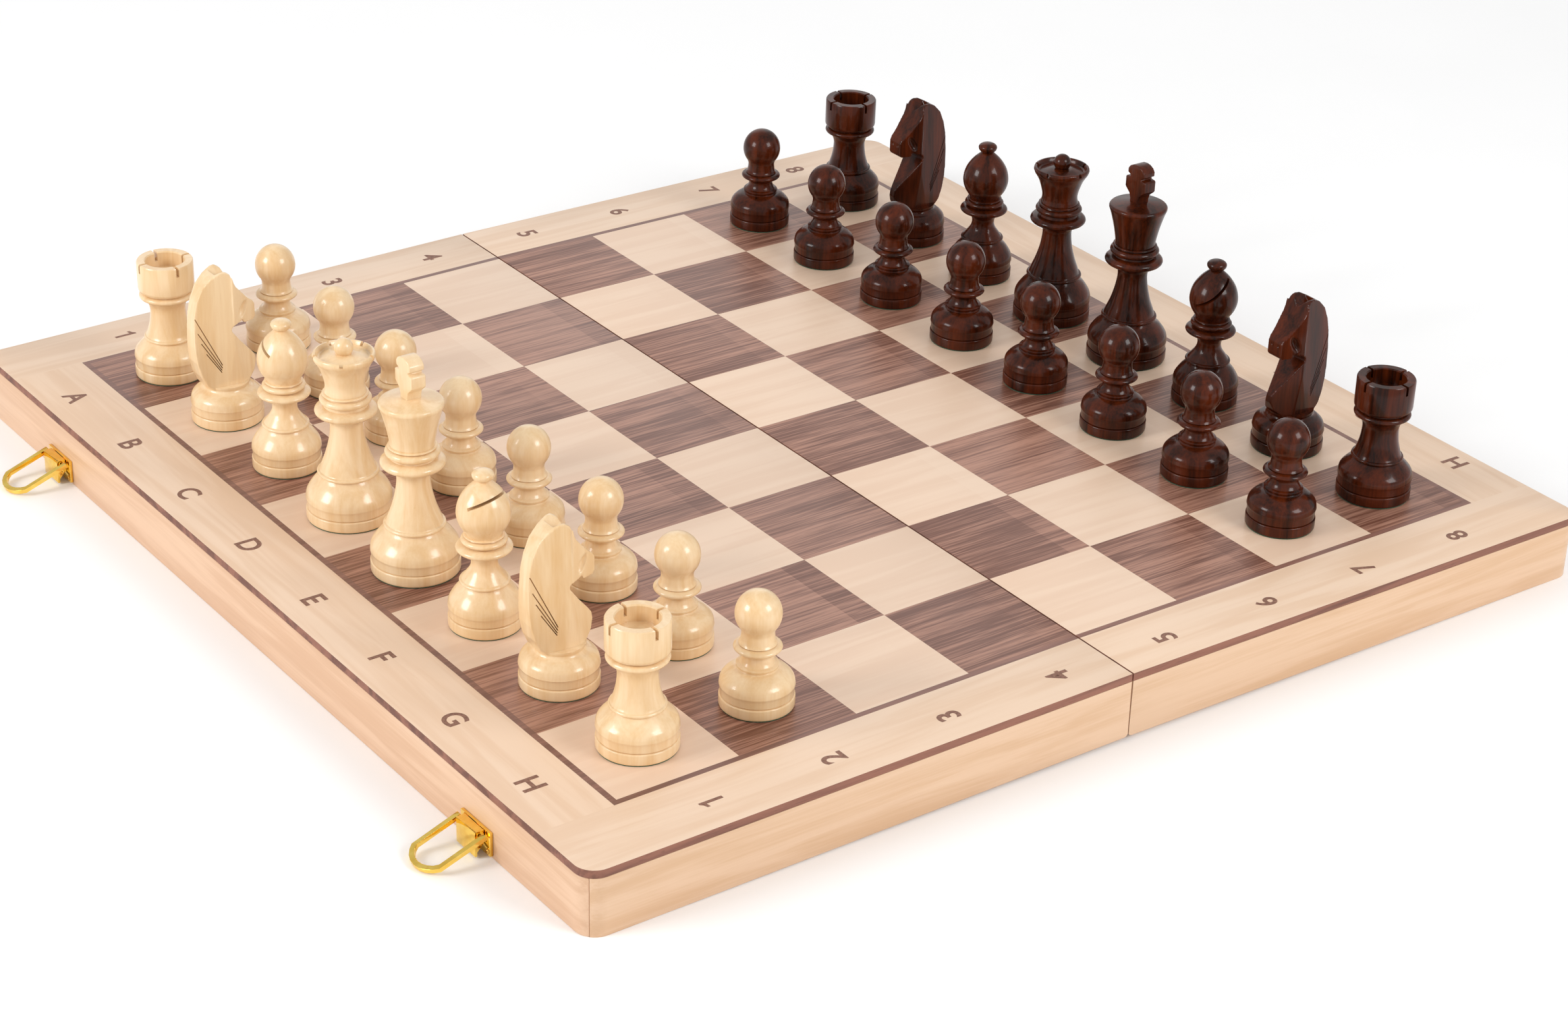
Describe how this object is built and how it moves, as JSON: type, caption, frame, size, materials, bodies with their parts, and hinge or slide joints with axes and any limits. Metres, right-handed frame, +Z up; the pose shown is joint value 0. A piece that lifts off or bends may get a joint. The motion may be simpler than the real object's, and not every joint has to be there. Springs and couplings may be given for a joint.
{
  "type": "folding chess set",
  "caption": "Two-leaf wooden chessboard that folds on hinges into a latched case with a foam tray, set up with its turned men.",
  "frame": {"origin": "middle of the open set's footprint, on the table under it", "axes": "+Z up, +X from the white player's side to the black player's side across the fold, +Y along the fold towards the a file"},
  "size_m": [0.5432, 0.5118, 0.1256],
  "materials": {
    "board_veneer": "satin walnut and maple veneer",
    "rail_wood": "satin varnished maple",
    "white_wood": "satin varnished boxwood",
    "black_wood": "glossy red-brown stain",
    "gilt_metal": "polished gilt",
    "hinge_metal": "black lacquer",
    "black_foam": "matt flocked foam",
    "black_lining": "matt felt"
  },
  "bodies": {
    "lid": {"hinge_a_lid_leaf": "hinge_metal", "hinge_a_pin": "hinge_metal", "hinge_h_lid_leaf": "hinge_metal", "hinge_h_pin": "hinge_metal", "latch_a_plate": "gilt_metal", "latch_h_plate": "gilt_metal", "lid_front_rail": "rail_wood", "lid_hinge_rail": "rail_wood", "lid_lining": "black_lining", "lid_panel": "board_veneer", "lid_side_rail_a": "rail_wood", "lid_side_rail_h": "rail_wood"},
    "tray": {"catch_a": "gilt_metal", "catch_h": "gilt_metal", "hinge_a_tray_leaf": "hinge_metal", "hinge_h_tray_leaf": "hinge_metal", "tray_foam": "black_foam", "tray_front_rail": "rail_wood", "tray_hinge_rail": "rail_wood", "tray_panel": "board_veneer", "tray_side_rail_a": "rail_wood", "tray_side_rail_h": "rail_wood"},
    "lever_a": {"latch_a_lever": "gilt_metal"},
    "loop_a": {"latch_a_loop": "gilt_metal"},
    "lever_h": {"latch_h_lever": "gilt_metal"},
    "loop_h": {"latch_h_loop": "gilt_metal"},
    "black_bishop_c": {"black_bishop_c": "black_wood"},
    "black_bishop_f": {"black_bishop_f": "black_wood"},
    "black_king": {"black_king": "black_wood"},
    "black_knight_b": {"black_knight_b": "black_wood"},
    "black_knight_g": {"black_knight_g": "black_wood"},
    "black_pawn_a": {"black_pawn_a": "black_wood"},
    "black_pawn_b": {"black_pawn_b": "black_wood"},
    "black_pawn_c": {"black_pawn_c": "black_wood"},
    "black_pawn_d": {"black_pawn_d": "black_wood"},
    "black_pawn_e": {"black_pawn_e": "black_wood"},
    "black_pawn_f": {"black_pawn_f": "black_wood"},
    "black_pawn_g": {"black_pawn_g": "black_wood"},
    "black_pawn_h": {"black_pawn_h": "black_wood"},
    "black_queen": {"black_queen": "black_wood"},
    "black_rook_a": {"black_rook_a": "black_wood"},
    "black_rook_h": {"black_rook_h": "black_wood"},
    "white_bishop_c": {"white_bishop_c": "white_wood"},
    "white_bishop_f": {"white_bishop_f": "white_wood"},
    "white_king": {"white_king": "white_wood"},
    "white_knight_b": {"white_knight_b": "white_wood"},
    "white_knight_g": {"white_knight_g": "white_wood"},
    "white_pawn_a": {"white_pawn_a": "white_wood"},
    "white_pawn_b": {"white_pawn_b": "white_wood"},
    "white_pawn_c": {"white_pawn_c": "white_wood"},
    "white_pawn_d": {"white_pawn_d": "white_wood"},
    "white_pawn_e": {"white_pawn_e": "white_wood"},
    "white_pawn_f": {"white_pawn_f": "white_wood"},
    "white_pawn_g": {"white_pawn_g": "white_wood"},
    "white_pawn_h": {"white_pawn_h": "white_wood"},
    "white_queen": {"white_queen": "white_wood"},
    "white_rook_a": {"white_rook_a": "white_wood"},
    "white_rook_h": {"white_rook_h": "white_wood"}
  },
  "joints": [
    {"name": "fold", "type": "hinge", "parent": "lid", "child": "tray", "pos_m": [0.01157, 0, 0.0016], "axis": [0, 1, 0], "range_deg": [-0.79, 179.21]},
    {"name": "lever_a_tip", "type": "hinge", "parent": "lid", "child": "lever_a", "pos_m": [-0.24642, 0.1766, 0.00648], "axis": [0, -1, 0], "range_deg": [0, 35]},
    {"name": "loop_a_swing", "type": "hinge", "parent": "lever_a", "child": "loop_a", "pos_m": [-0.24714, 0.1766, 0.00987], "axis": [0, 1, 0], "range_deg": [-73, 100]},
    {"name": "lever_h_tip", "type": "hinge", "parent": "lid", "child": "lever_h", "pos_m": [-0.24642, -0.181, 0.00648], "axis": [0, -1, 0], "range_deg": [0, 35]},
    {"name": "loop_h_swing", "type": "hinge", "parent": "lever_h", "child": "loop_h", "pos_m": [-0.24714, -0.181, 0.00987], "axis": [0, 1, 0], "range_deg": [-73, 100]},
    {"name": "black_bishop_c_lift", "type": "slide", "parent": "tray", "child": "black_bishop_c", "axis": [0.0069, 0, 1], "range_m": [0, 0.12]},
    {"name": "black_bishop_f_lift", "type": "slide", "parent": "tray", "child": "black_bishop_f", "axis": [0.0069, 0, 1], "range_m": [0, 0.12]},
    {"name": "black_king_lift", "type": "slide", "parent": "tray", "child": "black_king", "axis": [0.0069, 0, 1], "range_m": [0, 0.12]},
    {"name": "black_knight_b_lift", "type": "slide", "parent": "tray", "child": "black_knight_b", "axis": [0.0069, 0, 1], "range_m": [0, 0.12]},
    {"name": "black_knight_g_lift", "type": "slide", "parent": "tray", "child": "black_knight_g", "axis": [0.0069, 0, 1], "range_m": [0, 0.12]},
    {"name": "black_pawn_a_lift", "type": "slide", "parent": "tray", "child": "black_pawn_a", "axis": [0.0069, 0, 1], "range_m": [0, 0.12]},
    {"name": "black_pawn_b_lift", "type": "slide", "parent": "tray", "child": "black_pawn_b", "axis": [0.0069, 0, 1], "range_m": [0, 0.12]},
    {"name": "black_pawn_c_lift", "type": "slide", "parent": "tray", "child": "black_pawn_c", "axis": [0.0069, 0, 1], "range_m": [0, 0.12]},
    {"name": "black_pawn_d_lift", "type": "slide", "parent": "tray", "child": "black_pawn_d", "axis": [0.0069, 0, 1], "range_m": [0, 0.12]},
    {"name": "black_pawn_e_lift", "type": "slide", "parent": "tray", "child": "black_pawn_e", "axis": [0.0069, 0, 1], "range_m": [0, 0.12]},
    {"name": "black_pawn_f_lift", "type": "slide", "parent": "tray", "child": "black_pawn_f", "axis": [0.0069, 0, 1], "range_m": [0, 0.12]},
    {"name": "black_pawn_g_lift", "type": "slide", "parent": "tray", "child": "black_pawn_g", "axis": [0.0069, 0, 1], "range_m": [0, 0.12]},
    {"name": "black_pawn_h_lift", "type": "slide", "parent": "tray", "child": "black_pawn_h", "axis": [0.0069, 0, 1], "range_m": [0, 0.12]},
    {"name": "black_queen_lift", "type": "slide", "parent": "tray", "child": "black_queen", "axis": [0.0069, 0, 1], "range_m": [0, 0.12]},
    {"name": "black_rook_a_lift", "type": "slide", "parent": "tray", "child": "black_rook_a", "axis": [0.0069, 0, 1], "range_m": [0, 0.12]},
    {"name": "black_rook_h_lift", "type": "slide", "parent": "tray", "child": "black_rook_h", "axis": [0.0069, 0, 1], "range_m": [0, 0.12]},
    {"name": "white_bishop_c_lift", "type": "slide", "parent": "lid", "child": "white_bishop_c", "axis": [-0.0069, 0, 1], "range_m": [0, 0.12]},
    {"name": "white_bishop_f_lift", "type": "slide", "parent": "lid", "child": "white_bishop_f", "axis": [-0.0069, 0, 1], "range_m": [0, 0.12]},
    {"name": "white_king_lift", "type": "slide", "parent": "lid", "child": "white_king", "axis": [-0.0069, 0, 1], "range_m": [0, 0.12]},
    {"name": "white_knight_b_lift", "type": "slide", "parent": "lid", "child": "white_knight_b", "axis": [-0.0069, 0, 1], "range_m": [0, 0.12]},
    {"name": "white_knight_g_lift", "type": "slide", "parent": "lid", "child": "white_knight_g", "axis": [-0.0069, 0, 1], "range_m": [0, 0.12]},
    {"name": "white_pawn_a_lift", "type": "slide", "parent": "lid", "child": "white_pawn_a", "axis": [-0.0069, 0, 1], "range_m": [0, 0.12]},
    {"name": "white_pawn_b_lift", "type": "slide", "parent": "lid", "child": "white_pawn_b", "axis": [-0.0069, 0, 1], "range_m": [0, 0.12]},
    {"name": "white_pawn_c_lift", "type": "slide", "parent": "lid", "child": "white_pawn_c", "axis": [-0.0069, 0, 1], "range_m": [0, 0.12]},
    {"name": "white_pawn_d_lift", "type": "slide", "parent": "lid", "child": "white_pawn_d", "axis": [-0.0069, 0, 1], "range_m": [0, 0.12]},
    {"name": "white_pawn_e_lift", "type": "slide", "parent": "lid", "child": "white_pawn_e", "axis": [-0.0069, 0, 1], "range_m": [0, 0.12]},
    {"name": "white_pawn_f_lift", "type": "slide", "parent": "lid", "child": "white_pawn_f", "axis": [-0.0069, 0, 1], "range_m": [0, 0.12]},
    {"name": "white_pawn_g_lift", "type": "slide", "parent": "lid", "child": "white_pawn_g", "axis": [-0.0069, 0, 1], "range_m": [0, 0.12]},
    {"name": "white_pawn_h_lift", "type": "slide", "parent": "lid", "child": "white_pawn_h", "axis": [-0.0069, 0, 1], "range_m": [0, 0.12]},
    {"name": "white_queen_lift", "type": "slide", "parent": "lid", "child": "white_queen", "axis": [-0.0069, 0, 1], "range_m": [0, 0.12]},
    {"name": "white_rook_a_lift", "type": "slide", "parent": "lid", "child": "white_rook_a", "axis": [-0.0069, 0, 1], "range_m": [0, 0.12]},
    {"name": "white_rook_h_lift", "type": "slide", "parent": "lid", "child": "white_rook_h", "axis": [-0.0069, 0, 1], "range_m": [0, 0.12]}
  ]
}
